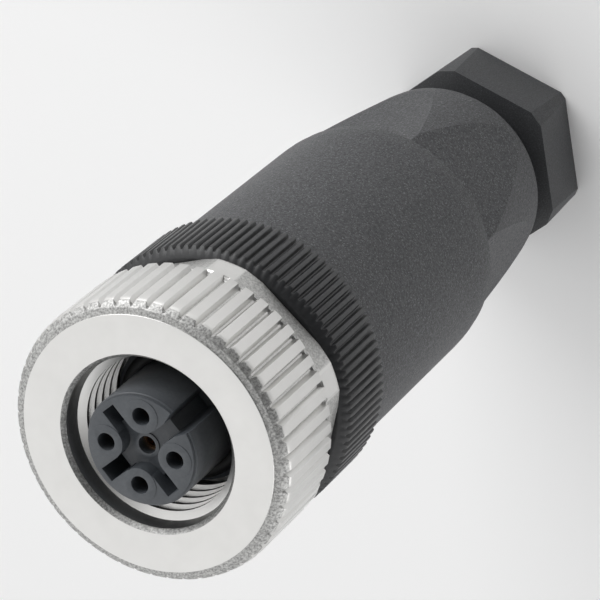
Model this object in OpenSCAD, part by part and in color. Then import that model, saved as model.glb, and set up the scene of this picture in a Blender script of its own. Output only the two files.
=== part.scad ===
// Field-wired M12 circular connector, female, five contacts, A-coded.
// It stands on its cable gland: +Z runs from the cable end to the mating face,
// +X runs from the axis through the keyway, and Z = 0 is the gland's end face.

/* [Coupling nut] */
// Diameter over the crests of the knurl
nut_d = 20.1; // [19.8:0.1:21.5]
// Length of the nut along the axis
nut_h = 9; // [8.5:0.25:12]
// Length of the plain hexagon behind the knurl
nut_hex_h = 2.4; // [1.5:0.1:3]
// Width across the flats of that hexagon
nut_hex_af = 18.1; // [17.6:0.1:18.6]
// Number of knurl grooves
knurl_count = 52; // [40:4:60]
// Depth of a knurl groove
knurl_depth = 0.42; // [0.25:0.01:0.5]
// Width of a knurl groove at the crest
knurl_groove_w = 0.54; // [0.4:0.02:0.6]
// Width of a knurl groove at its floor
knurl_floor_w = 0.14; // [0.1:0.02:0.3]
// Diameter of the flat mating face
nut_face_d = 18.26; // [17.5:0.1:19]
// Length of the rounded front chamfer
nut_chamfer_h = 1; // [0.6:0.1:1.4]
// Nominal diameter of the mating thread, at its root
thread_d = 12; // [11.8:0.1:12.4]
// Diameter of the countersink at the mouth
mouth_d = 12.8; // [12.6:0.1:13.4]
// Thickness of the inward flange that holds the nut
nut_flange_h = 1.6; // [1.2:0.1:2.2]

/* [Contact insert] */
// Diameter of the barrel that enters the mating half
barrel_d = 8; // [7.9:0.1:8.4]
// How far the insert stands proud of the nut's face
insert_proud = 0.87; // [0.5:0.01:1.5]
// Height of the face disc above the barrel's shoulder
face_disc_h = 0.25; // [0.15:0.05:0.5]
// How far the face disc lies inside the barrel's surface
face_disc_inset = 0.16; // [0.16:0.01:0.3]
// Diameter of the collar that the nut's flange bears on
collar_d = 10.4; // [10:0.1:10.6]
// Thickness of that collar
collar_h = 1.3; // [1:0.1:2]
// Diameter of the stem that passes through nut and grip ring
stem_d = 9.2; // [8.8:0.1:9.4]
// Diameter of the circle of the outer contacts
contact_pcd = 5; // [4.8:0.05:5.2]
// Diameter of a pin hole in the face
pin_hole_d = 1.26; // [1.2:0.02:1.34]
// Diameter of the raised land round each pin hole
land_d = 2.4; // [2.2:0.05:2.5]
// Depth of the sunk star between the lands
star_depth = 1.05; // [0.8:0.05:1.5]
// Width of the slots between the lands
slot_w = 1.05; // [0.9:0.05:1.15]
// Distance from the axis to a slot's end
slot_reach = 3.45; // [3:0.05:3.6]
// Depth of the slots outside the star
slot_depth = 3; // [2:0.25:4]
// Height of the rim round the centre hole above the star's floor
centre_rim_h = 0.1; // [0.05:0.01:0.3]
// Wall of that rim
centre_rim_w = 0.25; // [0.2:0.01:0.3]
// Distance from the axis to the bottom of the keyway
key_floor_r = 2.7; // [2.5:0.05:3]
// Width of the keyway at its bottom
key_floor_w = 0.95; // [0.8:0.05:1.1]
// Width of the keyway at the barrel's surface
key_mouth_w = 1.8; // [1.5:0.05:2]
// Length of the keyway from the face
key_l = 5; // [4:0.5:6]

/* [Contacts] */
// Bore of a contact, for a 1 mm pin
contact_bore_d = 1.04; // [1.02:0.01:1.1]
// Outer diameter of a contact's socket
socket_d = 1.6; // [1.5:0.05:1.7]
// Depth of the contacts' mouths below the insert's face
contact_recess = 1.9; // [1.6:0.1:2.4]
// Depth of a contact's bore
contact_bore_l = 6; // [5:0.5:7]
// Diameter of the rod behind a socket
rod_d = 1.3; // [1.2:0.05:1.5]
// Diameter of a wire barrel
wire_barrel_d = 2.9; // [2.7:0.1:3]
// Length of an outer contact's wire barrel
wire_barrel_l = 5; // [4.5:0.25:5.5]
// Length of the centre contact's wire barrel
centre_barrel_l = 4; // [3.6:0.2:4.2]
// Bore of a wire barrel
wire_bore_d = 1.6; // [1.4:0.1:1.7]
// Diameter of a terminal screw's thread
screw_d = 1.4; // [1.2:0.1:1.4]
// Diameter of a terminal screw's head
screw_head_d = 1.9; // [1.7:0.1:1.9]
// Height of a terminal screw's head
screw_head_h = 1.2; // [0.8:0.1:1.4]

/* [Grip ring and terminal block] */
// How far the ribs of the grip ring stand out beyond the nut's knurl
ring_proud = 0; // [-0.2:0.05:0.4]
// Length of the ribbed part
ring_h = 5.6; // [5:0.2:8]
// Number of ribs
rib_count = 102; // [80:2:110]
// Depth of the grooves between the ribs
rib_depth = 0.25; // [0.15:0.01:0.3]
// Thickness of the ring's front wall
ring_wall_h = 4; // [3:0.2:4.4]
// Length of the threaded tube behind the ring
tube_l = 4.5; // [4:0.25:6]
// Inner diameter of that tube
tube_bore_d = 13.4; // [13.2:0.1:13.6]
// Length of the terminal block behind the ring
block_l = 15.4; // [15:0.2:17]
// Thickness of the clip that holds the insert
clip_h = 0.6; // [0.4:0.1:0.8]
// Radial width of that clip
clip_w = 1.6; // [1.2:0.1:1.8]

/* [Housing sleeve] */
// Diameter of the sleeve's straight part
sleeve_d = 18.84; // [18.6:0.1:19.4]
// Length of the sleeve
sleeve_l = 33.75; // [32:0.25:40]
// Length of the tapered rear part
taper_l = 13.4; // [12:0.2:15]
// Diameter of the sleeve at the rear rim
rim_d = 15.74; // [15.4:0.1:16.2]
// Diameter of the sleeve's end face
rear_face_d = 14.7; // [14.2:0.1:15.2]
// Length of the rounded rim
rim_h = 1.7; // [1.2:0.1:2.2]
// Width across the six wrench flats
flats_af = 15.7; // [15.5:0.1:16.2]
// Length of the flats in front of the rim
flats_l = 11.8; // [10:0.2:12.6]
// Bore of the sleeve's front thread, at its root
front_bore_d = 16.6; // [16.4:0.1:17]
// Depth of the front thread, root to crest
front_thread_h = 0.35; // [0.25:0.05:0.4]
// Diameter of the wiring space
chamber_d = 15.8; // [15:0.1:16.2]
// Thickness of the wall between wiring space and gland
web_h = 1.6; // [1.2:0.1:2.4]
// Diameter of the hole in that wall
web_hole_d = 7.8; // [7.4:0.1:8]

/* [Cable gland] */
// Width across the flats of the pressure nut, next to the sleeve
gland_af = 14.4; // [14:0.1:14.8]
// How much narrower the flats are at the end face
gland_draft = 0.4; // [0.1:0.1:0.6]
// Width across the pressure nut's cut corners
gland_corner_af = 15.84; // [15.4:0.02:16.2]
// Length of the pressure nut's hexagon
gland_hex_h = 5.6; // [4.5:0.1:8]
// Gap left between the pressure nut and the sleeve
gland_gap = 2.6; // [2.2:0.1:3.4]
// Length of the pressure nut's threaded shank
shank_l = 7; // [6.4:0.2:8]
// Bore of the gland thread in the sleeve, at its root
gland_bore_d = 12.6; // [12.4:0.1:12.8]
// Depth of the gland thread, root to crest
gland_thread_h = 0.4; // [0.3:0.05:0.5]
// Bore for the cable
cable_bore_d = 6.8; // [6.4:0.1:7.2]
// Length of the cable seal
seal_l = 5; // [4:0.25:5.4]
// Outer diameter of the cable seal
seal_d = 9.2; // [8.8:0.1:9.4]
// Thickness of the thrust washer
washer_h = 0.6; // [0.5:0.1:1]
// Thickness of the clamping cage's ring
cage_ring_h = 1.4; // [1.2:0.1:1.6]
// Number of fingers on the cage
finger_count = 8; // [6:1:10]
// Length of the fingers
finger_l = 4; // [3.4:0.2:4.2]
// Wall of the fingers
finger_w = 0.9; // [0.7:0.05:1]

/* [Fits] */
// Radial running clearance of turning pieces
run_fit = 0.08; // [0.05:0.01:0.1]
// Radial clearance of pieces that only sit in each other
seat_fit = 0.05; // [0.03:0.01:0.06]
// Axial gap between faces that seat on each other
face_gap = 0.05; // [0.03:0.01:0.1]
// Axial play of the coupling nut on each side
nut_play = 0.2; // [0.1:0.05:0.3]
// Thickness of the face seal's ring
face_seal_w = 1; // [0.8:0.1:1]
// Depth of the face seal's groove in the barrel
seal_groove_depth = 0.25; // [0.15:0.05:0.35]
// Thickness of the sleeve's O-ring
o_ring_w = 0.9; // [0.8:0.1:1]

/* [Hidden] */
$fn = 64;
eps = 0.01;
outer_contacts = 4;
ring_d = nut_d + 2 * ring_proud;

// How far knurl, nut hexagon, ribs and pressure nut are turned from +X, in degrees
knurl_turn = 1.8;
nut_hex_turn = 6;
rib_turn = -0.8;
gland_turn = 27.5;

// Stations along the axis, from the cable end forward
z_sleeve_rear = gland_hex_h + gland_gap;
z_sleeve_front = z_sleeve_rear + sleeve_l;
z_ring_rear = z_sleeve_front + face_gap;
z_ring_front = z_ring_rear + ring_h;
z_nut_rear = z_ring_front + nut_play;
z_nut_front = z_nut_rear + nut_h;
z_face = z_nut_front + insert_proud;
z_flange_front = z_nut_rear + nut_flange_h;
z_collar_rear = z_flange_front + nut_play;
z_collar_front = z_collar_rear + collar_h;
z_ring_pocket = z_ring_front - ring_wall_h;
z_clip_rear = z_ring_pocket - face_gap - clip_h;
z_stem_rear = z_clip_rear - 0.9;
z_block_front = z_stem_rear - face_gap;
z_block_rear = z_ring_rear - block_l;
z_tube_rear = z_ring_rear - tube_l;
z_mouth = z_face - contact_recess;
z_star = z_face - star_depth;

// Terminals: the outer ones lie behind the centre one
z_wire_rear = z_block_rear + 0.4;
z_wire_front = z_wire_rear + wire_barrel_l;
z_outer_screw = z_wire_rear + 0.56 * wire_barrel_l;
z_centre_rear = z_wire_front + 1;
z_centre_front = z_centre_rear + centre_barrel_l;
z_centre_screw = z_centre_rear + 0.56 * centre_barrel_l;
screw_fit = 0.1;
screw_bite = 0.9;

// Sleeve
z_rim = z_sleeve_rear + rim_h;
z_taper_front = z_rim + taper_l;
z_flats_front = z_rim + flats_l;
z_web_front = z_taper_front + 0.3;
z_web_rear = z_web_front - web_h;
z_thread_rear = z_tube_rear - 1;

// Gland: the seal seats on the web, and the cage can close on it
z_shank_front = gland_hex_h + shank_l;
z_washer_front = z_shank_front + face_gap + washer_h;
z_cage_rear = z_washer_front + face_gap;
z_cage_front = z_cage_rear + cage_ring_h + finger_l;
z_seal_front = z_web_rear - face_gap;
finger_outer_r = seal_d / 2 + 0.3 + finger_w;
cone_h = 1.2;

// Seal grooves
face_seal_r = barrel_d / 2 - seal_groove_depth + seat_fit + face_seal_w / 2;
z_barrel_rear = z_collar_front + face_seal_w + 0.1;
ring_groove_r = front_bore_d / 2 - run_fit - o_ring_w;
o_ring_r = front_bore_d / 2 - run_fit - o_ring_w / 2;
o_ring_z = z_ring_rear - 0.4 - o_ring_w / 2;

black = "#26272a";
slate = "#4a4e55";

// A hexagon across its flats, with one flat facing +X
module hexagon(af) {
    rotate(30) circle(r = af / 2 / cos(30), $fn = 6);
}

// A plain tube from z0 to z1
module tube(r_out, r_in, z0, z1) {
    translate([0, 0, z0]) difference() {
        cylinder(r = r_out, h = z1 - z0);
        translate([0, 0, -1]) cylinder(r = r_in, h = z1 - z0 + 2);
    }
}

// A rubber ring of round section
module o_ring(r, w, z) {
    translate([0, 0, z]) rotate_extrude() translate([r, 0]) circle(d = w, $fn = 24);
}

// Outline of a wheel with straight grooves, with a crest at the angle turn
function grooved_outline(r, count, depth, top_w, floor_w, turn) = [
    for (i = [0:count - 1])
        let (
            mid = turn + 360 * (i + 0.5) / count,
            top = asin(top_w / 2 / r),
            floor_a = asin(floor_w / 2 / (r - depth))
        )
        for (p = [[r, -top], [r - depth, -floor_a], [r - depth, floor_a], [r, top]])
            [p[0] * cos(mid + p[1]), p[0] * sin(mid + p[1])]
];

// A front chamfer whose cone runs on past radius r, as a solid of revolution to cut with.
// It falls from face_r at z_top to r at z_edge; knee is a point on the way, or empty.
module chamfered_blank(r, face_r, z_bottom, z_edge, z_top, knee = []) {
    from = len(knee) ? knee : [face_r, z_top];
    slope = (z_edge - from[1]) / (r - from[0]);
    rotate_extrude() polygon(concat(
        [[0, z_bottom], [r + 1, z_bottom], [r + 1, z_edge + slope]],
        len(knee) ? [knee] : [],
        [[face_r, z_top], [0, z_top]]
    ));
}

// Coupling nut: knurled front, plain hexagon behind, threaded bore
module knurled_front() {
    z0 = z_nut_rear + nut_hex_h;
    r = nut_d / 2;
    face_r = nut_face_d / 2;
    knee = [face_r + (r - face_r) * 0.62, z_nut_front - nut_chamfer_h * 0.3];
    intersection() {
        translate([0, 0, z0]) linear_extrude(z_nut_front - z0 + 1)
            polygon(grooved_outline(
                r, knurl_count, knurl_depth, knurl_groove_w, knurl_floor_w, knurl_turn
            ));
        chamfered_blank(r, face_r, z0 - 1, z_nut_front - nut_chamfer_h, z_nut_front, knee);
    }
}

module nut_hexagon() {
    r = nut_d / 2 - 0.08;
    intersection() {
        translate([0, 0, z_nut_rear]) linear_extrude(nut_hex_h) rotate(nut_hex_turn) hexagon(nut_hex_af);
        rotate_extrude() polygon([
            [0, z_nut_rear - 1],
            [r - 2, z_nut_rear - 1],
            [r, z_nut_rear + 0.4],
            [r, z_nut_rear + nut_hex_h + 1],
            [0, z_nut_rear + nut_hex_h + 1]
        ]);
    }
}

module coupling_nut() {
    root_r = thread_d / 2;
    color("#c9c9c6") difference() {
        union() {
            knurled_front();
            nut_hexagon();
        }
        rotate_extrude() polygon([
            [0, z_flange_front],
            [root_r, z_flange_front],
            [root_r, z_nut_front - 0.9],
            [root_r + 0.12, z_nut_front - 0.35],
            [mouth_d / 2, z_nut_front],
            [mouth_d / 2, z_nut_front + 1],
            [0, z_nut_front + 1]
        ]);
        translate([0, 0, z_nut_rear - 1]) cylinder(d = stem_d + 2 * run_fit, h = nut_flange_h + 2);
    }
}

// Places for the outer contacts, each turned to its own direction
module at_contact(i) {
    rotate(45 + 360 / outer_contacts * i) translate([contact_pcd / 2, 0]) children();
}

// The star between the lands of the pin holes
module star_outline() {
    difference() {
        union() {
            square([2 * slot_reach, slot_w], center = true);
            square([slot_w, 2 * slot_reach], center = true);
            square(contact_pcd * 0.7, center = true);
        }
        for (i = [0:outer_contacts - 1]) at_contact(i) circle(d = land_d);
    }
}

module key_outline() {
    reach = barrel_d / 2 + 1;
    slope = (key_mouth_w - key_floor_w) / 2 / (barrel_d / 2 - key_floor_r);
    w1 = key_floor_w / 2 + slope * (reach - key_floor_r);
    polygon([
        [key_floor_r, -key_floor_w / 2],
        [reach, -w1],
        [reach, w1],
        [key_floor_r, key_floor_w / 2]
    ]);
}

module insert_body() {
    r = barrel_d / 2;
    rotate_extrude() polygon([
        [0, z_stem_rear],
        [stem_d / 2, z_stem_rear],
        [stem_d / 2, z_clip_rear - face_gap],
        [stem_d / 2 - 0.6, z_clip_rear - face_gap],
        [stem_d / 2 - 0.6, z_ring_pocket],
        [stem_d / 2, z_ring_pocket],
        [stem_d / 2, z_collar_rear],
        [collar_d / 2, z_collar_rear],
        [collar_d / 2, z_collar_front],
        [r - seal_groove_depth, z_collar_front],
        [r - seal_groove_depth, z_barrel_rear],
        [r, z_barrel_rear],
        [r, z_face - face_disc_h - 0.08],
        [r - 0.08, z_face - face_disc_h],
        [r - face_disc_inset, z_face - face_disc_h],
        [r - face_disc_inset, z_face],
        [0, z_face]
    ]);
}

module contact_insert() {
    hole_r = pin_hole_d / 2;
    socket_r = socket_d / 2 + seat_fit;
    color(slate) difference() {
        insert_body();
        // the star, with the rim of the centre hole left standing
        difference() {
            translate([0, 0, z_star]) linear_extrude(star_depth + 1) star_outline();
            translate([0, 0, z_star - 1])
                cylinder(r = hole_r + centre_rim_w, h = 1 + centre_rim_h);
        }
        // the deeper slots outside the star
        for (a = [90, 180, 270]) rotate(a)
            translate([key_floor_r - 0.5, -slot_w / 2, z_face - slot_depth])
                cube([slot_reach - key_floor_r + 0.5, slot_w, slot_depth + 1]);
        translate([0, 0, z_face - key_l]) linear_extrude(key_l + 1) key_outline();
        // the pin holes, wider behind the contacts' mouths
        for (i = [0:outer_contacts - 1]) at_contact(i) {
            translate([0, 0, z_mouth - 1]) cylinder(r = hole_r, h = contact_recess + 2);
            translate([0, 0, z_stem_rear - 1]) cylinder(r = socket_r, h = z_mouth + face_gap - z_stem_rear + 1);
        }
        translate([0, 0, z_mouth - 1]) cylinder(r = hole_r, h = contact_recess + 2);
        translate([0, 0, z_stem_rear - 1]) cylinder(r = socket_r, h = z_mouth + face_gap - z_stem_rear + 1);
    }
}

// A contact: socket in front, rod, wire barrel at the rear
module contact(barrel_rear, barrel_front, screw_z, wire_depth) {
    color("#b9884a") difference() {
        union() {
            translate([0, 0, z_stem_rear]) cylinder(d = socket_d, h = z_mouth - z_stem_rear);
            translate([0, 0, barrel_front - eps]) cylinder(d = rod_d, h = z_stem_rear - barrel_front + 2 * eps);
            translate([0, 0, barrel_rear]) cylinder(d = wire_barrel_d, h = barrel_front - barrel_rear);
        }
        translate([0, 0, z_mouth - contact_bore_l]) cylinder(d = contact_bore_d, h = contact_bore_l + 1);
        translate([0, 0, barrel_rear - 1]) cylinder(d = wire_bore_d, h = wire_depth + 1);
        translate([0, 0, screw_z]) rotate([0, 90, 0])
            cylinder(d = screw_d + 2 * screw_fit, h = wire_barrel_d);
    }
}

module outer_contact(i) {
    at_contact(i) contact(z_wire_rear, z_wire_front, z_outer_screw, wire_barrel_l - 0.8);
}

module centre_contact() {
    contact(z_centre_rear, z_centre_front, z_centre_screw, centre_barrel_l - 0.6);
}

// A terminal screw that points inward along -X from its head
module terminal_screw(z) {
    top = wire_barrel_d / 2 + face_gap;
    color("silver") translate([0, 0, z]) rotate([0, 90, 0]) difference() {
        union() {
            translate([0, 0, top - screw_bite]) cylinder(d = screw_d, h = screw_bite + eps);
            translate([0, 0, top]) cylinder(d = screw_head_d, h = screw_head_h);
        }
        translate([-screw_head_d, -0.2, top + screw_head_h - 0.5]) cube([2 * screw_head_d, 0.4, 1]);
    }
}

module terminal_screws() {
    for (i = [0:outer_contacts - 1]) at_contact(i) terminal_screw(z_outer_screw);
    terminal_screw(z_centre_screw);
}

// Bore for one contact and the pocket of its screw
module contact_space(barrel_rear, barrel_front, screw_z) {
    translate([0, 0, z_block_rear - 1])
        cylinder(d = rod_d + 2 * seat_fit, h = z_block_front - z_block_rear + 2);
    translate([0, 0, barrel_rear - seat_fit])
        cylinder(d = wire_barrel_d + 2 * seat_fit, h = barrel_front - barrel_rear + 2 * seat_fit);
    translate([0, 0, screw_z]) rotate([0, 90, 0])
        cylinder(d = screw_head_d + 2 * screw_fit, h = tube_bore_d);
}

module terminal_block() {
    r = tube_bore_d / 2 - seat_fit;
    wire_r = wire_barrel_d / 2 - 0.3;
    color("#3c4046") difference() {
        translate([0, 0, z_block_rear]) cylinder(r = r, h = z_block_front - z_block_rear);
        for (i = [0:outer_contacts - 1]) at_contact(i) {
            contact_space(z_wire_rear, z_wire_front, z_outer_screw);
            translate([0, 0, z_block_rear - 1]) cylinder(r = wire_r, h = 2);
        }
        contact_space(z_centre_rear, z_centre_front, z_centre_screw);
    }
}

module retaining_clip() {
    inner_r = stem_d / 2 - 0.6 + seat_fit;
    color("silver") difference() {
        tube(inner_r + clip_w, inner_r, z_clip_rear, z_clip_rear + clip_h);
        translate([0, 0, z_clip_rear - 1]) linear_extrude(clip_h + 2) polygon([
            [0, 0],
            [-10, -4],
            [-10, 4]
        ]);
    }
}

module face_seal() {
    color("#1a1a1a") o_ring(face_seal_r, face_seal_w, z_collar_front + face_seal_w / 2 + eps);
}

// Grip ring: ribbed band, front wall round the stem, tube with the O-ring's groove
module ribbed_band() {
    r = ring_d / 2;
    pitch = 3.1416 * ring_d / rib_count;
    intersection() {
        translate([0, 0, z_ring_rear]) linear_extrude(ring_h + 1)
            polygon(grooved_outline(r, rib_count, rib_depth, pitch * 0.56, pitch * 0.2, rib_turn));
        chamfered_blank(r, r - 0.75, z_ring_rear - 1, z_ring_front - 0.6, z_ring_front);
    }
}

module grip_ring() {
    tube_r = front_bore_d / 2 - front_thread_h;
    groove_h = o_ring_w + 0.2;
    color(black) difference() {
        union() {
            ribbed_band();
            translate([0, 0, z_tube_rear]) cylinder(r = tube_r, h = tube_l + 1);
        }
        translate([0, 0, z_tube_rear - 1]) cylinder(d = tube_bore_d, h = z_ring_pocket - z_tube_rear + 1);
        translate([0, 0, z_ring_pocket - 1]) cylinder(d = stem_d + 2 * seat_fit, h = ring_wall_h + 2);
        tube(tube_r + 1, ring_groove_r - seat_fit, o_ring_z - groove_h / 2, o_ring_z + groove_h / 2);
    }
}

module sleeve_o_ring() {
    color("#1a1a1a") o_ring(o_ring_r, o_ring_w, o_ring_z);
}

// Housing sleeve: straight, then tapered, with six flats that run out at the rim
module sleeve_form() {
    r = sleeve_d / 2;
    rotate_extrude() polygon([
        [0, z_sleeve_rear],
        [rear_face_d / 2, z_sleeve_rear],
        [rear_face_d / 2 + (rim_d - rear_face_d) * 0.34, z_sleeve_rear + rim_h * 0.4],
        [rim_d / 2, z_rim],
        [r, z_taper_front],
        [r, z_sleeve_front],
        [0, z_sleeve_front]
    ]);
}

module sleeve_bores() {
    thread_r = gland_bore_d / 2;
    rotate_extrude() polygon([
        [0, z_sleeve_rear - 1],
        [thread_r, z_sleeve_rear - 1],
        [thread_r, z_web_rear - cone_h],
        [seal_d / 2 + 0.15, z_web_rear],
        [web_hole_d / 2, z_web_rear],
        [web_hole_d / 2, z_web_front],
        [chamber_d / 2 - 1, z_web_front],
        [chamber_d / 2, z_web_front + 1],
        [chamber_d / 2, z_thread_rear - 0.3],
        [front_bore_d / 2, z_thread_rear],
        [front_bore_d / 2, z_sleeve_front + 1],
        [0, z_sleeve_front + 1]
    ]);
}

module housing_sleeve() {
    color(black) difference() {
        union() {
            intersection() {
                sleeve_form();
                translate([0, 0, z_sleeve_rear]) linear_extrude(z_flats_front - z_sleeve_rear)
                    hexagon(flats_af);
            }
            intersection() {
                sleeve_form();
                translate([0, 0, z_flats_front]) cylinder(d = sleeve_d + 2, h = sleeve_l);
            }
        }
        sleeve_bores();
    }
}

// Cable gland
module cable_seal() {
    color("#2b2b2b") tube(seal_d / 2, cable_bore_d / 2 - 0.2, z_seal_front - seal_l, z_seal_front);
}

module clamping_cage() {
    ring_r = gland_bore_d / 2 - gland_thread_h - 0.1;
    slit = 0.5;
    color("#5a5d61") difference() {
        union() {
            translate([0, 0, z_cage_rear]) cylinder(r = ring_r, h = cage_ring_h);
            translate([0, 0, z_cage_rear + cage_ring_h - eps])
                cylinder(r = finger_outer_r, h = finger_l - 0.8 + eps);
            translate([0, 0, z_cage_front - 0.8])
                cylinder(r1 = finger_outer_r, r2 = finger_outer_r - 0.4, h = 0.8);
        }
        translate([0, 0, z_cage_rear - 1]) cylinder(r = cable_bore_d / 2 + 0.2, h = 10);
        translate([0, 0, z_cage_rear + cage_ring_h]) cylinder(r = finger_outer_r - finger_w, h = 10);
        for (i = [0:finger_count - 1]) rotate(360 / finger_count * i)
            translate([0, -slit / 2, z_cage_rear + cage_ring_h]) cube([10, slit, 10]);
    }
}

module thrust_washer() {
    color("silver") tube(
        gland_bore_d / 2 - gland_thread_h - 0.1,
        cable_bore_d / 2,
        z_shank_front + face_gap,
        z_washer_front
    );
}

module pressure_nut() {
    corner_r = gland_corner_af / 2 + 0.15;
    color(black) difference() {
        union() {
            intersection() {
                linear_extrude(gland_hex_h, scale = gland_af / (gland_af - gland_draft))
                    rotate(gland_turn) hexagon(gland_af - gland_draft);
                translate([0, 0, -1]) linear_extrude(gland_hex_h + 2)
                    rotate(gland_turn + 30) hexagon(gland_corner_af);
                rotate_extrude() polygon([
                    [0, 0],
                    [corner_r - 0.35, 0],
                    [corner_r, 0.35],
                    [corner_r, gland_hex_h - 0.3],
                    [corner_r - 0.3, gland_hex_h],
                    [0, gland_hex_h]
                ]);
            }
            cylinder(r = gland_bore_d / 2 - gland_thread_h, h = z_shank_front);
        }
        translate([0, 0, -1]) cylinder(d = cable_bore_d, h = z_shank_front + 2);
        translate([0, 0, -eps]) cylinder(r1 = cable_bore_d / 2 + 0.6, r2 = cable_bore_d / 2, h = 0.6);
    }
}

coupling_nut();
contact_insert();
outer_contact(0);  // contact_1
outer_contact(1);  // contact_2
outer_contact(2);  // contact_3
outer_contact(3);  // contact_4
centre_contact();  // contact_5
terminal_block();
terminal_screws();
retaining_clip();
face_seal();
grip_ring();
sleeve_o_ring();
housing_sleeve();
cable_seal();
clamping_cage();
thrust_washer();
pressure_nut();
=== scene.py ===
# %% [markdown]
# # A field-wired M12 connector
#
# The real object is a small industrial plug: a knurled metal nut, a keyed plastic insert with five
# sockets, a ribbed ring, a grained sleeve and a cable gland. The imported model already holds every
# piece at its real size, so this lesson is about surfaces: edges that catch the light, a knurl with
# run-outs, threads, and finishes. Everything is in metres, and the connector stands on its gland.

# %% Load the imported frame
import math
import bpy
from mathutils import Matrix, Vector


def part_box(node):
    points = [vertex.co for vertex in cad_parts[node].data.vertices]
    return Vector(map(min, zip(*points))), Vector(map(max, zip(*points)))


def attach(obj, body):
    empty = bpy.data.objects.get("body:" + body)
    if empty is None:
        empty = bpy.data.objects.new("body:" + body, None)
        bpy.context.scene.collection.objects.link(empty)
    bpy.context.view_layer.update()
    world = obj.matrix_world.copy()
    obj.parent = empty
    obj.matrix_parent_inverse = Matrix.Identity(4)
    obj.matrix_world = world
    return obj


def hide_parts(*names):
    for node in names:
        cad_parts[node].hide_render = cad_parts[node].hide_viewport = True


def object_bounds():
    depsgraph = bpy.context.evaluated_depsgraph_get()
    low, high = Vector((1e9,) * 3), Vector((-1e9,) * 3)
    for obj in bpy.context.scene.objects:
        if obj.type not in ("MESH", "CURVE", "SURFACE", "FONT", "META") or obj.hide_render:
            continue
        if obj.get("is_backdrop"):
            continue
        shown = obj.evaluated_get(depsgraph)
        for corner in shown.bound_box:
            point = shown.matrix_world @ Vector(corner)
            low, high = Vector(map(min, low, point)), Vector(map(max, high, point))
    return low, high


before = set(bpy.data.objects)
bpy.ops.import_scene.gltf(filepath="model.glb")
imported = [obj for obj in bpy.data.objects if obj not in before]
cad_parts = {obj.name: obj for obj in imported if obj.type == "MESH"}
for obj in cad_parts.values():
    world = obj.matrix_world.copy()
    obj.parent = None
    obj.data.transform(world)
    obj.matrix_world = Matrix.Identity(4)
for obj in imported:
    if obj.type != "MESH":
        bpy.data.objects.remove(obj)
cad_low, cad_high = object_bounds()
MM = 0.001
print(f"frame: {len(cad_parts)} nodes, {1000 * (cad_high.z - cad_low.z):.2f} mm tall")

# %% [markdown]
# ## Working by hand, in code
#
# Blender's operators act on whatever is selected. Loading leaves every node selected, so each step
# starts by clearing the selection. These few helpers are the ones a modeller repeats all day:
# pick one object, apply a modifier, subtract a tool from a blank, and soften the edges.


# %% Small helpers for selection and modifiers
def pick(piece):
    for other in bpy.context.selected_objects:
        other.select_set(False)
    piece.select_set(True)
    bpy.context.view_layer.objects.active = piece
    return piece


def settle(piece):
    """Moves the object's place into its mesh, so that the object sits at the origin."""
    pick(piece)
    bpy.ops.object.transform_apply(location=True, rotation=True, scale=True)
    return piece


def apply_modifier(piece, kind, **settings):
    pick(piece)
    modifier = piece.modifiers.new(kind.lower(), kind)
    for key, value in settings.items():
        setattr(modifier, key, value)
    bpy.ops.object.modifier_apply(modifier=modifier.name)
    return piece


def merge(piece, distance=0.002):
    """Joins points closer than distance, in millimetres, which a cut can leave behind."""
    pick(piece)
    bpy.ops.object.mode_set(mode="EDIT")
    bpy.ops.mesh.select_all(action="SELECT")
    bpy.ops.mesh.remove_doubles(threshold=distance * MM)
    bpy.ops.object.mode_set(mode="OBJECT")
    return piece


def subtract(blank, tool, operation="DIFFERENCE"):
    apply_modifier(blank, "BOOLEAN", operation=operation, object=tool, solver="EXACT")
    bpy.data.objects.remove(tool, do_unlink=True)
    return merge(blank)


def join(pieces, name):
    pick(pieces[0])
    for piece in pieces[1:]:
        piece.select_set(True)
    if len(pieces) > 1:
        bpy.ops.object.join()
    pieces[0].name = pieces[0].data.name = name
    return pieces[0]


def soften(piece, width, angle=24, smooth=30, segments=2):
    """Breaks the sharp edges with a narrow bevel, then shades smoothly across gentle angles."""
    apply_modifier(
        piece, "BEVEL", width=width, segments=segments, limit_method="ANGLE",
        angle_limit=math.radians(angle), use_clamp_overlap=True,
    )
    pick(piece)
    bpy.ops.object.shade_smooth_by_angle(angle=math.radians(smooth))
    return piece


# %% [markdown]
# ## The lathe
#
# Nearly every piece is turned or moulded round an axis. On a lathe the outline is all that matters,
# so one helper takes a closed outline of (radius, height) points in millimetres. It adds a circle
# and extrudes it from point to point, as one would with the extrude and scale keys. With 6 segments
# the same helper makes a hexagonal tube, which is the tool that mills wrench flats.


# %% A lathe made of extrudes
def lathe(name, outline, segments=192, turned=0.0):
    first_r, first_z = outline[0]
    bpy.ops.object.select_all(action="DESELECT")
    bpy.ops.mesh.primitive_circle_add(
        vertices=segments, radius=first_r * MM, location=(0, 0, first_z * MM),
        rotation=(0, 0, math.radians(turned - 90)),
    )
    piece = bpy.context.object
    piece.name = piece.data.name = name
    bpy.ops.object.mode_set(mode="EDIT")
    bpy.ops.mesh.select_all(action="SELECT")
    for (r0, z0), (r1, z1) in zip(outline, outline[1:] + outline[:1]):
        bpy.ops.mesh.extrude_region_move(
            TRANSFORM_OT_translate={"value": (0, 0, (z1 - z0) * MM)}
        )
        bpy.ops.transform.resize(
            value=(r1 / r0, r1 / r0, 1), center_override=(0, 0, z1 * MM)
        )
    bpy.ops.mesh.select_all(action="SELECT")
    bpy.ops.mesh.remove_doubles(threshold=1e-6)
    bpy.ops.mesh.normals_make_consistent(inside=False)
    bpy.ops.object.mode_set(mode="OBJECT")
    return settle(piece)


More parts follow.
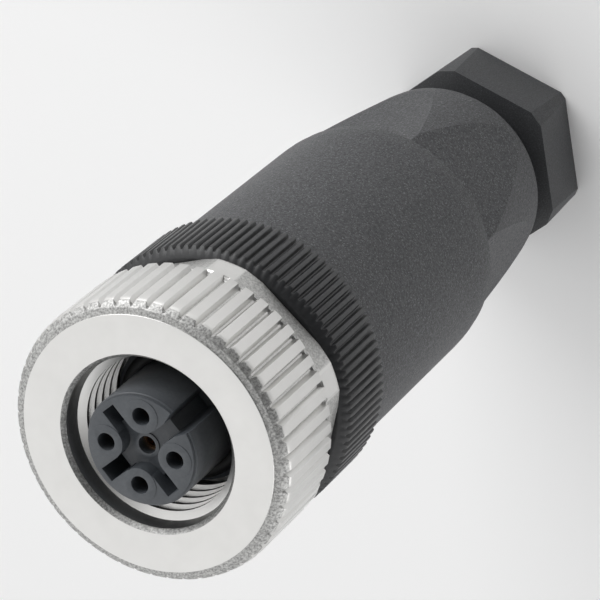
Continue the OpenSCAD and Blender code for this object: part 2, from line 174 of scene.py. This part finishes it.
def rod(name, radius, low, high, segments=48, x=0.0, y=0.0):
    """A plain round tool, used to drill a hole from low to high."""
    bpy.ops.object.select_all(action="DESELECT")
    bpy.ops.mesh.primitive_cylinder_add(
        vertices=segments, radius=radius * MM, depth=(high - low) * MM,
        location=(x * MM, y * MM, (low + high) / 2 * MM),
    )
    piece = bpy.context.object
    piece.name = piece.data.name = name
    return settle(piece)


def block(name, low, high):
    """A box between two corners, in millimetres."""
    bpy.ops.object.select_all(action="DESELECT")
    middle = [(a + b) / 2 * MM for a, b in zip(low, high)]
    bpy.ops.mesh.primitive_cube_add(size=1, location=middle)
    piece = bpy.context.object
    piece.scale = [(b - a) * MM for a, b in zip(low, high)]
    piece.name = piece.data.name = name
    return settle(piece)


def around(piece, count, name, offset=0.0):
    """Copies a piece round the axis, each copy with its own mesh, and joins the copies."""
    copies = []
    for i in range(count):
        turned = piece.copy()
        turned.data = piece.data.copy()
        turned.data.transform(Matrix.Rotation(math.radians(offset + 360 * i / count), 4, "Z"))
        bpy.context.collection.objects.link(turned)
        copies.append(turned)
    bpy.data.objects.remove(piece, do_unlink=True)
    return join(copies, name)


# %% [markdown]
# ## Shader maths that reads like maths
#
# A procedural finish is a formula of the place on the surface. The small class below wraps one
# output of a node and overloads the operators, so that `1 - mask * 0.3` builds the Math nodes.
# Every other node comes from one method, which takes the node's type, its settings and its inputs.


# %% Sockets with operators, and the method that makes nodes
class Socket:
    def __init__(self, paint, output):
        self.paint = paint
        self.output = output

    def maths(self, operation, a, b):
        return self.paint.node("ShaderNodeMath", {"operation": operation}, {0: a, 1: b})

    def __add__(self, other):
        return self.maths("ADD", self, other)

    __radd__ = __add__

    def __mul__(self, other):
        return self.maths("MULTIPLY", self, other)

    __rmul__ = __mul__

    def __sub__(self, other):
        return self.maths("SUBTRACT", self, other)

    def __rsub__(self, other):
        return self.maths("SUBTRACT", other, self)

    def __pow__(self, other):
        return self.maths("POWER", self, other)

    def clamp(self):
        return self.paint.node("ShaderNodeClamp", {}, {"Value": self})

    def above(self, edge, soft):
        """0 below edge and 1 above it, over a soft width."""
        return self.paint.node(
            "ShaderNodeMapRange", {"interpolation_type": "SMOOTHSTEP"},
            {"Value": self, "From Min": edge - soft / 2, "From Max": edge + soft / 2},
        )


class Paint:
    def __init__(self, name, **sockets):
        self.material = bpy.data.materials.new(name)
        self.material.use_nodes = True
        self.tree = self.material.node_tree
        self.shader = self.tree.nodes["Principled BSDF"]
        for key, value in sockets.items():
            self.set(key.replace("_", " "), value)
        self.place = self.node("ShaderNodeTexCoord", {}, {}, "Object")

    def set(self, key, value):
        target = self.shader.inputs[key]
        if isinstance(value, Socket):
            self.tree.links.new(value.output, target)
        else:
            target.default_value = value

    def node(self, kind, settings, inputs, output=0):
        made = self.tree.nodes.new(kind)
        for key, value in settings.items():
            setattr(made, key, value)
        for key, value in inputs.items():
            if isinstance(value, Socket):
                self.tree.links.new(value.output, made.inputs[key])
            else:
                made.inputs[key].default_value = value
        return Socket(self, made.outputs[output])

    def parts(self):
        """x, y, z of the place, in millimetres, and the distance from the axis."""
        scaled = self.node(
            "ShaderNodeVectorMath", {"operation": "SCALE"}, {0: self.place, "Scale": 1000.0}
        )
        x, y, z = (
            self.node("ShaderNodeSeparateXYZ", {}, {0: scaled}, axis) for axis in "XYZ"
        )
        return x, y, z, (x * x + y * y) ** 0.5

    def noise(self, size_mm, detail=2.0, roughness=0.5):
        """Noise whose features are about size_mm across, between 0 and 1."""
        return self.node(
            "ShaderNodeTexNoise", {},
            {"Vector": self.place, "Scale": 1 / (size_mm * MM), "Detail": detail,
             "Roughness": roughness},
        )

    def mix(self, factor, a, b):
        return self.node(
            "ShaderNodeMix", {"data_type": "RGBA"}, {"Factor": factor, 6: a, 7: b}, 2
        )

    def bump(self, height, depth_mm, strength=1.0):
        made = self.node(
            "ShaderNodeBump", {},
            {"Strength": strength, "Distance": depth_mm * MM, "Height": height},
        )
        self.set("Normal", made)


def dress(piece, paint):
    piece.data.materials.clear()
    piece.data.materials.append(paint.material)
    for face in piece.data.polygons:
        face.material_index = 0
    return piece


# %% [markdown]
# ## Camera and light
#
# The camera looks down on the mating face at a slant. It is turned about its own line of sight, so
# that the connector lies across the frame. A long lens keeps the sides nearly parallel. The camera
# comes first, because everything after it is judged through it.

# %% Camera
LOOK_AT = Vector((-0.041, 0.542, 33.282)) * MM
DISTANCE = 231.85 * MM
AZIMUTH, ELEVATION, ROLL = 4.33, 54.64, -131.18
LENS, SENSOR = 198.0, 36.0


def facing(direction, roll=0.0):
    """A rotation that looks along -direction, turned about that line of sight."""
    level = (-direction).to_track_quat("-Z", "Y").to_matrix().to_4x4()
    return (level @ Matrix.Rotation(math.radians(roll), 4, "Z")).to_euler()


camera_data = bpy.data.cameras.new("camera")
camera_data.lens = LENS
camera_data.sensor_width = SENSOR
camera_data.clip_start = 0.01
camera = bpy.data.objects.new("camera", camera_data)
bpy.context.scene.collection.objects.link(camera)
away = Vector((
    math.cos(math.radians(ELEVATION)) * math.cos(math.radians(AZIMUTH)),
    math.cos(math.radians(ELEVATION)) * math.sin(math.radians(AZIMUTH)),
    math.sin(math.radians(ELEVATION)),
))
camera.location = LOOK_AT + away * DISTANCE
camera.rotation_euler = facing(away, ROLL)
bpy.context.scene.camera = camera
print(f"camera: {LENS:.0f} mm lens, {1000 * DISTANCE:.0f} mm away")

# %% [markdown]
# The light is a white tent, as for small metal parts: nearly every direction is bright and soft, so
# the metal mirrors white. One side of the tent, low in front of the keyway, is left dark. Metal
# needs that dark side: chamfers and groove walls that face it turn into crisp dark lines, and the
# black plastic gets a darker middle.

# %% Tent, two soft boxes and floor
DARK_SIDE = Vector((0.84, -0.05, 0.54)).normalized()

world = bpy.data.worlds.new("tent")
world.use_nodes = True
sky = world.node_tree
direction = sky.nodes.new("ShaderNodeTexCoord").outputs["Generated"]
toward = sky.nodes.new("ShaderNodeVectorMath")
toward.operation = "DOT_PRODUCT"
toward.inputs[1].default_value = DARK_SIDE
sky.links.new(direction, toward.inputs[0])
fade = sky.nodes.new("ShaderNodeMapRange")
fade.interpolation_type = "SMOOTHSTEP"
for key, value in {"From Min": 0.3, "From Max": 0.85, "To Min": 1.06, "To Max": 0.06}.items():
    fade.inputs[key].default_value = value
sky.links.new(toward.outputs["Value"], fade.inputs["Value"])
sky.links.new(fade.outputs["Result"], sky.nodes["Background"].inputs["Strength"])
sky.nodes["Background"].inputs["Color"].default_value = (1, 1, 1, 1)
bpy.context.scene.world = world


def soft_box(name, toward, distance, size, power):
    data = bpy.data.lights.new(name, "AREA")
    data.shape = "RECTANGLE"
    data.size, data.size_y = size
    data.energy = power
    lamp = bpy.data.objects.new(name, data)
    bpy.context.scene.collection.objects.link(lamp)
    line = Vector(toward).normalized()
    lamp.location = LOOK_AT + line * distance
    lamp.rotation_euler = facing(line)
    return lamp


soft_box("box_left", (0.15, 0.95, 0.30), 0.40, (0.30, 0.25), 0.9)
soft_box("box_right", (0.25, -0.95, 0.05), 0.40, (0.20, 0.15), 0.35)
bpy.context.scene.view_settings.view_transform = "Standard"
bpy.context.scene.view_settings.look = "None"

bpy.ops.object.select_all(action="DESELECT")
bpy.ops.mesh.primitive_plane_add(size=3.0, location=(0, 0, cad_low.z))
floor = settle(bpy.context.object)
floor.name = floor.data.name = "floor"
dress(floor, Paint("pale_floor", Base_Color=(0.99, 0.99, 0.99, 1), Roughness=0.9))
floor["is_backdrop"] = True

# %% [markdown]
# ## Finishes
#
# Each finish is a formula. The nickel is satin on the turned faces and polished on the crests that
# fingers touch; its front chamfer, countersink and hexagon are a rougher, speckled darker grey, and
# the knurl's valleys are darkened towards that grey as painted shade. The black plastics differ in
# their grain: coarse on the sleeve, with light specks as painted glints, fine on the gland with fewer
# glints, nearly smooth on the ring and the insert.

# %% Nickel
nut_low, nut_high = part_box("coupling_nut")
NUT_R = nut_high.y / MM
NUT_REAR, NUT_FRONT = nut_low.z / MM, nut_high.z / MM
HEX_FRONT = NUT_REAR + 2.4
FACE_R, MOUTH_R, THREAD_R = 9.13, 6.4, 6.0


def nickel_plate():
    paint = Paint("nickel_plate", Metallic=1.0)
    x, y, z, r = paint.parts()
    fine = paint.noise(0.045, 2.0, 0.6)
    grey_speckle = paint.noise(0.16, 3.0, 0.65)
    patch = paint.noise(1.6, 2.0)
    near_front = z.above(NUT_FRONT - 0.62, 0.1) * (1 - z.above(NUT_FRONT - 0.04, 0.04))
    chamfer = near_front * r.above(9.0, 0.1)
    countersink = z.above(NUT_FRONT - 0.36, 0.03) * (1 - r.above(6.42, 0.02))
    countersink = countersink * (1 - z.above(NUT_FRONT - 0.01, 0.02))
    hexagon = (1 - z.above(HEX_FRONT, 0.05)) * (1 - r.above(9.90, 0.08))
    hexagon = hexagon * r.above(8.6, 0.1)
    # Painted shade: the valleys between the knurl's crests are darkened towards the grey, at a share
    # of 0.35.
    groove_shade = (1 - r.above(9.75, 0.25)) * r.above(9.35, 0.1) * z.above(HEX_FRONT, 0.1)
    grey_and_groove_shade = (chamfer + countersink + hexagon * 0.75 + groove_shade * 0.35).clamp()
    tone = paint.mix(patch, (0.66, 0.655, 0.64, 1), (0.74, 0.735, 0.72, 1))
    grey = paint.mix(grey_speckle.above(0.5, 0.35), (0.16, 0.16, 0.158, 1), (0.55, 0.55, 0.54, 1))
    # The nickel tone turns to the speckled grey over the chamfer, countersink and hexagon, and in the
    # knurl's valleys as painted shade.
    paint.set("Base Color", paint.mix(grey_and_groove_shade * 0.8, tone, grey))
    paint.set("Roughness", 0.24 + 0.1 * fine + 0.22 * grey_and_groove_shade + 0.05 * patch)
    paint.bump(fine * 0.15 + grey_speckle * grey_and_groove_shade, 0.05, 0.6)
    return paint


NICKEL = nickel_plate()


# %% Plastics, rubber and contact metals
def moulded_plastic(name, dark, light, grain_mm, depth_mm, roughness, glint_share=0.0):
    paint = Paint(name)
    grain = paint.noise(grain_mm, 3.0, 0.65)
    patch = paint.noise(4.0, 2.0)
    # Painted glints: light grey specks in the base colour stand in for the sparkle of the grain.
    painted_glint = paint.noise(grain_mm * 0.55, 1.0, 0.5).above(0.64, 0.1)
    tone = paint.mix(grain.above(0.5, 0.4), (*dark, 1), (*light, 1))
    paint.set("Base Color", paint.mix(painted_glint * glint_share, tone, (0.30, 0.305, 0.32, 1)))
    paint.set("Roughness", roughness - 0.15 * grain + 0.08 * patch)
    paint.bump(grain, depth_mm)
    return paint


# The sleeve and the gland get painted glints in their grain; the other plastics get none.
SLEEVE_PLASTIC = moulded_plastic(
    "sleeve_plastic", (0.022, 0.0225, 0.0245), (0.062, 0.064, 0.069), 0.20, 0.05, 0.58, 0.35)
RING_PLASTIC = moulded_plastic(
    "ring_plastic", (0.016, 0.0165, 0.018), (0.024, 0.025, 0.027), 0.3, 0.004, 0.46)
GLAND_PLASTIC = moulded_plastic(
    "gland_plastic", (0.030, 0.031, 0.033), (0.050, 0.052, 0.056), 0.14, 0.02, 0.52, 0.12)
INSERT_PLASTIC = moulded_plastic(
    "insert_plastic", (0.066, 0.073, 0.082), (0.078, 0.086, 0.096), 0.25, 0.003, 0.45)
CAGE_PLASTIC = moulded_plastic(
    "cage_plastic", (0.10, 0.105, 0.11), (0.13, 0.135, 0.14), 0.3, 0.004, 0.5)
RUBBER = moulded_plastic(
    "seal_rubber", (0.012, 0.012, 0.013), (0.02, 0.02, 0.021), 0.08, 0.004, 0.65)


def bright_metal(name, base, roughness):
    paint = Paint(name, Metallic=1.0)
    fine = paint.noise(0.08, 2.0)
    paint.set("Base Color", paint.mix(fine, (*[0.8 * c for c in base], 1), (*base, 1)))
    paint.set("Roughness", roughness + 0.1 * fine)
    return paint


BRASS = bright_metal("contact_brass", (0.80, 0.46, 0.24), 0.25)
STEEL = bright_metal("zinc_steel", (0.62, 0.62, 0.63), 0.3)

for name, paint in {
    "terminal_block": INSERT_PLASTIC, "terminal_screws": STEEL, "retaining_clip": STEEL,
    "face_seal": RUBBER, "sleeve_o_ring": RUBBER, "cable_seal": RUBBER,
    "clamping_cage": CAGE_PLASTIC, "thrust_washer": STEEL,
    "contact_1": BRASS, "contact_2": BRASS, "contact_3": BRASS, "contact_4": BRASS,
    "contact_5": BRASS, "coupling_nut": NICKEL, "contact_insert": INSERT_PLASTIC,
    "grip_ring": RING_PLASTIC, "housing_sleeve": SLEEVE_PLASTIC, "pressure_nut": GLAND_PLASTIC,
}.items():
    dress(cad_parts[name], paint)
print("finishes: 9 materials on 18 nodes")


def replace(piece, node, body, paint):
    """The finished piece takes the CAD node's place and rides on its body."""
    dress(piece, paint)
    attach(piece, body)
    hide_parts(node)
    print(f"{piece.name}: {len(piece.data.polygons)} faces in place of {node}")
    return piece


# %% [markdown]
# ## The coupling nut
#
# The nut is turned, then knurled with a straight knurl, then milled to a hexagon at the rear. The
# script does the same in the same order: a turned blank, one groove tool copied round it, a
# hexagonal tube to mill the flats, and a narrow bevel that lets every edge catch a line of light.

# %% Turn the nut's blank
FLANGE_BORE_R, FLANGE_H = 4.68, 1.6
TEETH, KNURL_TURN = 52, 1.8

nut = lathe("nut_body", [
    (FLANGE_BORE_R, NUT_REAR), (NUT_R - 0.62, NUT_REAR), (NUT_R - 0.12, NUT_REAR + 0.4),
    (NUT_R - 0.06, NUT_REAR + 0.7), (NUT_R - 0.06, HEX_FRONT - 0.2),
    (NUT_R, HEX_FRONT), (NUT_R, NUT_FRONT - 1.0), (NUT_R - 0.03, NUT_FRONT - 0.82),
    (NUT_R - 0.11, NUT_FRONT - 0.62), (NUT_R - 0.26, NUT_FRONT - 0.4),
    (NUT_R - 0.5, NUT_FRONT - 0.2), (FACE_R + 0.02, NUT_FRONT - 0.1), (FACE_R, NUT_FRONT),
    (MOUTH_R, NUT_FRONT), (THREAD_R + 0.12, NUT_FRONT - 0.35), (THREAD_R, NUT_FRONT - 0.9),
    (THREAD_R, NUT_REAR + FLANGE_H), (FLANGE_BORE_R, NUT_REAR + FLANGE_H),
], segments=TEETH * 6, turned=KNURL_TURN)


# %% Cut the knurl and the hexagon
def groove_tool(radius, depth, top_w, floor_w, low, high, run_out, above=0.5):
    """A long wedge that cuts one groove. Its rear end slopes, as a knurling wheel leaves it."""
    tool = block("groove_tool", (radius - depth, -1, low), (radius + above, 1, high))
    flare = (top_w - floor_w) / depth
    for vertex in tool.data.vertices:
        at_floor = vertex.co.x < (radius - depth + 0.01) * MM
        at_rear = vertex.co.z < (low + 0.01) * MM
        half = floor_w / 2 if at_floor else (floor_w + flare * (depth + above)) / 2
        vertex.co.y = math.copysign(half * MM, vertex.co.y)
        if at_rear and not at_floor:
            vertex.co.z -= run_out * (depth + above) / depth * MM
    return tool


grooves = around(
    groove_tool(NUT_R, 0.42, 0.54, 0.14, HEX_FRONT + 0.1, NUT_FRONT + 1, 0.25),
    TEETH, "grooves", offset=KNURL_TURN + 180 / TEETH,
)
subtract(nut, grooves)
HEX_CORNER = 18.1 / 2 / math.cos(math.radians(30))
subtract(nut, lathe("hex_tool", [
    (HEX_CORNER, NUT_REAR - 1), (14, NUT_REAR - 1), (14, HEX_FRONT), (HEX_CORNER, HEX_FRONT),
], segments=6, turned=36))
soften(nut, 0.05 * MM, angle=25, smooth=35)
replace(nut, "coupling_nut", "coupling_nut", NICKEL)

# %% [markdown]
# ## The threads
#
# A thread is one ridge wound into a helix. The ridge's section is made on a small plane, and the
# Screw modifier winds it, one pitch higher each turn.


# %% Wind a thread
def thread(name, root_r, crest_r, pitch, low, turns, paint, body, steps=72):
    base, tip = 0.42 * pitch, 0.12 * pitch
    bpy.ops.object.select_all(action="DESELECT")
    bpy.ops.mesh.primitive_plane_add(size=1, location=(0, 0, 0), rotation=(math.pi / 2, 0, 0))
    ridge = settle(bpy.context.object)
    ridge.name = ridge.data.name = name
    for vertex in ridge.data.vertices:
        at_root = vertex.co.x < 0
        half = base if at_root else tip
        vertex.co = Vector((
            (root_r if at_root else crest_r) * MM, 0,
            (low + math.copysign(half, vertex.co.z)) * MM,
        ))
    count = int(steps * turns)
    apply_modifier(
        ridge, "SCREW", axis="Z", angle=2 * math.pi * turns, screw_offset=pitch * turns * MM,
        steps=count, render_steps=count, use_merge_vertices=False,
    )
    pick(ridge)
    bpy.ops.object.mode_set(mode="EDIT")
    bpy.ops.mesh.select_all(action="SELECT")
    bpy.ops.mesh.remove_doubles(threshold=1e-7)
    bpy.ops.mesh.fill_holes(sides=4)
    bpy.ops.mesh.normals_make_consistent(inside=False)
    bpy.ops.object.mode_set(mode="OBJECT")
    bpy.ops.object.shade_smooth_by_angle(angle=math.radians(30))
    dress(ridge, paint)
    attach(ridge, body)
    print(f"{name}: {turns} turns of {pitch} mm")
    return ridge


thread("nut_thread", THREAD_R + 0.03, 5.46, 1.0, NUT_REAR + 2.6, 5.0,
       NICKEL, "coupling_nut")

# %% [markdown]
# ## The contact insert
#
# The mating face is a disc with four round lands, one for each pin hole. Between them a star is
# sunk, with deep slots in three of its arms, and the fourth arm runs out into the keyway.

# %% Turn the insert
insert_low, insert_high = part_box("contact_insert")
FACE, STEM_REAR = insert_high.z / MM, insert_low.z / MM
BARREL_R, COLLAR_R, STEM_R, LAND_R, HOLE_R, PIN_R = 4.0, 5.2, 4.6, 1.2, 0.63, 2.5
COLLAR_REAR = NUT_REAR + FLANGE_H + 0.2
DISC = FACE - 0.045

insert = lathe("insert_body", [
    (0.3, STEM_REAR), (STEM_R, STEM_REAR), (STEM_R, STEM_REAR + 0.85),
    (STEM_R - 0.6, STEM_REAR + 0.85), (STEM_R - 0.6, STEM_REAR + 1.55),
    (STEM_R, STEM_REAR + 1.55), (STEM_R, COLLAR_REAR), (COLLAR_R, COLLAR_REAR),
    (COLLAR_R, COLLAR_REAR + 1.3), (BARREL_R - 0.25, COLLAR_REAR + 1.3),
    (BARREL_R - 0.25, COLLAR_REAR + 2.4), (BARREL_R, COLLAR_REAR + 2.4),
    (BARREL_R, FACE - 0.30), (BARREL_R - 0.06, FACE - 0.25), (BARREL_R - 0.16, FACE - 0.25),
    (BARREL_R - 0.16, DISC), (0.3, DISC),
], segments=144)
lands = around(rod("land", LAND_R, FACE - 0.8, FACE, x=PIN_R), 4, "lands", offset=45)
subtract(insert, lands, "UNION")

# %% Sink the star, the slots, the keyway and the holes
SLOT, REACH, STAR = 1.05, 3.45, FACE - 1.05
DEEP_FROM, DEEP, TOP, INNER = 2.2, FACE - 3, FACE + 1, 2.6
star = block("star", (-INNER, -SLOT / 2, STAR), (REACH, SLOT / 2, TOP))
subtract(star, block("arm", (-SLOT / 2, -INNER, STAR), (SLOT / 2, INNER, TOP)), "UNION")
subtract(star, block("middle", (-1.75, -1.75, STAR), (1.75, 1.75, TOP)), "UNION")
subtract(star, around(
    rod("land_core", LAND_R, STAR - 1, FACE + 2, x=PIN_R), 4, "land_cores", offset=45))
subtract(star, rod("rim_core", HOLE_R + 0.25, STAR - 1, STAR + 0.1))
for low, high in (
    ((-SLOT / 2, DEEP_FROM), (SLOT / 2, REACH)),
    ((-REACH, -SLOT / 2), (-DEEP_FROM, SLOT / 2)),
    ((-SLOT / 2, -REACH), (SLOT / 2, -DEEP_FROM)),
):
    subtract(star, block("deep", (*low, DEEP), (*high, TOP)), "UNION")
key = block("key", (2.7, -1, FACE - 5), (5.0, 1, TOP))
for vertex in key.data.vertices:
    half = 0.475 if vertex.co.x < 3 * MM else 0.475 + 0.327 * 2.3
    vertex.co.y = math.copysign(half * MM, vertex.co.y)
subtract(star, key, "UNION")
HOLE_REAR, SOCKET_R = FACE - 1.88, 0.85
for tool in (
    around(rod("pin_hole", HOLE_R, HOLE_REAR, FACE + 1.5, x=PIN_R), 4, "pin_holes", offset=45),
    rod("centre_hole", HOLE_R, HOLE_REAR, FACE + 1.5),
    around(rod("socket", SOCKET_R, STEM_REAR - 1, HOLE_REAR + 0.02, x=PIN_R), 4, "sockets", offset=45),
    rod("centre_socket", SOCKET_R, STEM_REAR - 1, HOLE_REAR + 0.02),
):
    subtract(star, tool, "UNION")
subtract(insert, star)
soften(insert, 0.03 * MM, angle=35, smooth=35)
replace(insert, "contact_insert", "carrier", INSERT_PLASTIC)

# %% [markdown]
# ## The grip ring

# %% Turn the ring and cut its ribs
ring_low, ring_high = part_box("grip_ring")
RING_R, TUBE_REAR, RING_FRONT = ring_high.y / MM, ring_low.z / MM, ring_high.z / MM
RING_REAR, TUBE_R, RIBS = RING_FRONT - 5.6, 7.95, 102
O_RING_Z = RING_REAR - 0.85

ring = lathe("ring_body", [
    (4.65, RING_FRONT), (4.65, RING_FRONT - 4.0), (6.7, RING_FRONT - 4.0), (6.7, TUBE_REAR),
    (TUBE_R, TUBE_REAR), (TUBE_R, O_RING_Z - 0.55), (7.27, O_RING_Z - 0.55),
    (7.27, O_RING_Z + 0.55), (TUBE_R, O_RING_Z + 0.55), (TUBE_R, RING_REAR),
    (RING_R, RING_REAR), (RING_R, RING_FRONT - 0.6), (RING_R - 0.08, RING_FRONT - 0.5),
    (RING_R - 0.7, RING_FRONT - 0.04), (RING_R - 0.82, RING_FRONT),
], segments=RIBS * 3, turned=-0.8)
ribs = around(
    groove_tool(RING_R, 0.25, 0.347, 0.124, RING_REAR - 1, RING_FRONT + 1, 0.0),
    RIBS, "rib_grooves", offset=-0.8 + 180 / RIBS,
)
subtract(ring, ribs)
soften(ring, 0.04 * MM, angle=30, smooth=35)
replace(ring, "grip_ring", "carrier", RING_PLASTIC)
thread("ring_thread", TUBE_R - 0.03, 8.24, 1.5, TUBE_REAR + 0.7, 1.35,
       RING_PLASTIC, "carrier")

# %% [markdown]
# ## The housing sleeve

# %% Turn the sleeve and mill its flats
sleeve_low, sleeve_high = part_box("housing_sleeve")
SLEEVE_R, SLEEVE_REAR, SLEEVE_FRONT = sleeve_high.y / MM, sleeve_low.z / MM, sleeve_high.z / MM
RIM, RIM_R = SLEEVE_REAR + 1.7, 7.87
TAPER, FLATS = RIM + 13.4, RIM + 11.8

sleeve = lathe("sleeve_body", [
    (6.3, SLEEVE_REAR), (7.35, SLEEVE_REAR), (7.70, SLEEVE_REAR + 0.68), (RIM_R, RIM),
    (SLEEVE_R - 0.03, TAPER - 0.5), (SLEEVE_R, TAPER + 0.4), (SLEEVE_R, SLEEVE_FRONT),
    (8.3, SLEEVE_FRONT), (8.3, 36.5), (7.9, 36.2), (7.9, 24.6), (6.9, 23.6), (3.9, 23.6),
    (3.9, 22.0), (4.75, 22.0), (6.3, 20.8),
], segments=288)
FLAT_CORNER = 15.7 / 2 / math.cos(math.radians(30))
subtract(sleeve, lathe("flats_tool", [
    (FLAT_CORNER, RIM - 3), (14, RIM - 3), (14, FLATS), (FLAT_CORNER, FLATS),
], segments=6, turned=30))
soften(sleeve, 0.10 * MM, angle=40, smooth=6)
replace(sleeve, "housing_sleeve", "sleeve", SLEEVE_PLASTIC)

# %% [markdown]
# ## The pressure nut

# %% Mill the pressure nut
gland_low, gland_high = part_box("pressure_nut")
GLAND_REAR, SHANK_FRONT, GLAND_HEX = gland_low.z / MM, gland_high.z / MM, 5.6

gland = lathe("gland_body", [
    (3.4, GLAND_REAR + 0.6), (4.0, GLAND_REAR), (9.5, GLAND_REAR), (9.5, GLAND_HEX),
    (5.9, GLAND_HEX), (5.9, SHANK_FRONT - 0.3), (5.6, SHANK_FRONT), (3.4, SHANK_FRONT),
], segments=144)
across = [7.0 / math.cos(math.radians(30)), 7.2 / math.cos(math.radians(30))]
subtract(gland, lathe("gland_flats", [
    (across[0] - 0.0412, GLAND_REAR - 1), (14, GLAND_REAR - 1), (14, GLAND_HEX + 1),
    (across[1] + 0.0412, GLAND_HEX + 1),
], segments=6, turned=57.5))
subtract(gland, lathe("gland_corners", [
    (7.92 / math.cos(math.radians(30)), GLAND_REAR - 1), (14, GLAND_REAR - 1),
    (14, GLAND_HEX + 1), (7.92 / math.cos(math.radians(30)), GLAND_HEX + 1),
], segments=6, turned=27.5))
soften(gland, 0.12 * MM, angle=20, smooth=30, segments=3)
replace(gland, "pressure_nut", "pressure_nut", GLAND_PLASTIC)
thread("gland_thread", 5.88, 6.24, 1.27, GLAND_HEX + 0.9, 4.6,
       GLAND_PLASTIC, "pressure_nut")

# %% Measure the whole and finish
low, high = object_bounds()
